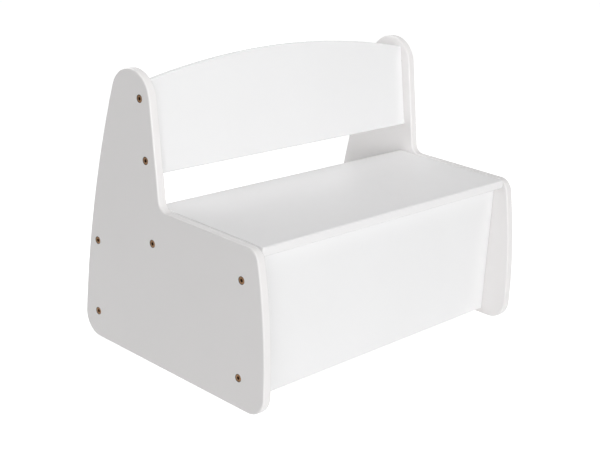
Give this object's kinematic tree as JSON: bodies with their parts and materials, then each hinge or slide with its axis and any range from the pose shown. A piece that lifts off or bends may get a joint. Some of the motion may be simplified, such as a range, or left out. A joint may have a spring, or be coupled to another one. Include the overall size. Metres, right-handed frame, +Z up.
{
  "type": "storage bench",
  "caption": "Low child's bench with shaped side panels, a leaning arched backrest and a flat seat lid that lifts to open the storage box underneath.",
  "frame": {"origin": "floor level, at the middle of the footprint", "axes": "+X along the width, +Y from the front to the rear, +Z up"},
  "size_m": [0.6, 0.4259, 0.4723],
  "materials": {
    "side_lacquer": "white lacquer over fibreboard, semi-gloss",
    "panel_lacquer": "white lacquer over fibreboard, semi-gloss",
    "seat_lacquer": "white lacquer over fibreboard, semi-gloss",
    "bottom_board": "white faced hardboard, matt",
    "bronze_screw": "bronze plated, satin",
    "hinge_steel": "zinc plated steel",
    "zinc_screw": "zinc plated steel",
    "dowel_beech": "bare beech",
    "soft_bumper": "clear soft plastic, matt"
  },
  "bodies": {
    "frame": {"left_side_panel": "side_lacquer", "right_side_panel": "side_lacquer", "front_panel": "panel_lacquer", "rear_panel": "panel_lacquer", "hinge_rail": "panel_lacquer", "bottom_panel": "bottom_board", "backrest_panel": "panel_lacquer", "front_panel_screws": "bronze_screw", "rear_panel_screws": "bronze_screw", "hinge_rail_screws": "bronze_screw", "backrest_screws": "bronze_screw", "front_panel_dowels": "dowel_beech", "rear_panel_dowels": "dowel_beech", "hinge_rail_dowels": "dowel_beech", "backrest_dowels": "dowel_beech", "left_hinge_rail_leaf": "hinge_steel", "left_hinge_pin": "hinge_steel", "right_hinge_rail_leaf": "hinge_steel", "right_hinge_pin": "hinge_steel", "hinge_rail_leaf_screws": "zinc_screw", "lid_bumpers": "soft_bumper"},
    "lid": {"seat_lid": "seat_lacquer", "left_hinge_lid_leaf": "hinge_steel", "right_hinge_lid_leaf": "hinge_steel", "hinge_lid_leaf_screws": "zinc_screw"}
  },
  "joints": [
    {"name": "lid_hinge", "type": "hinge", "parent": "frame", "child": "lid", "pos_m": [0, 0.0552, 0.2397], "axis": [-1, 0, 0], "range_deg": [0, 69]}
  ]
}
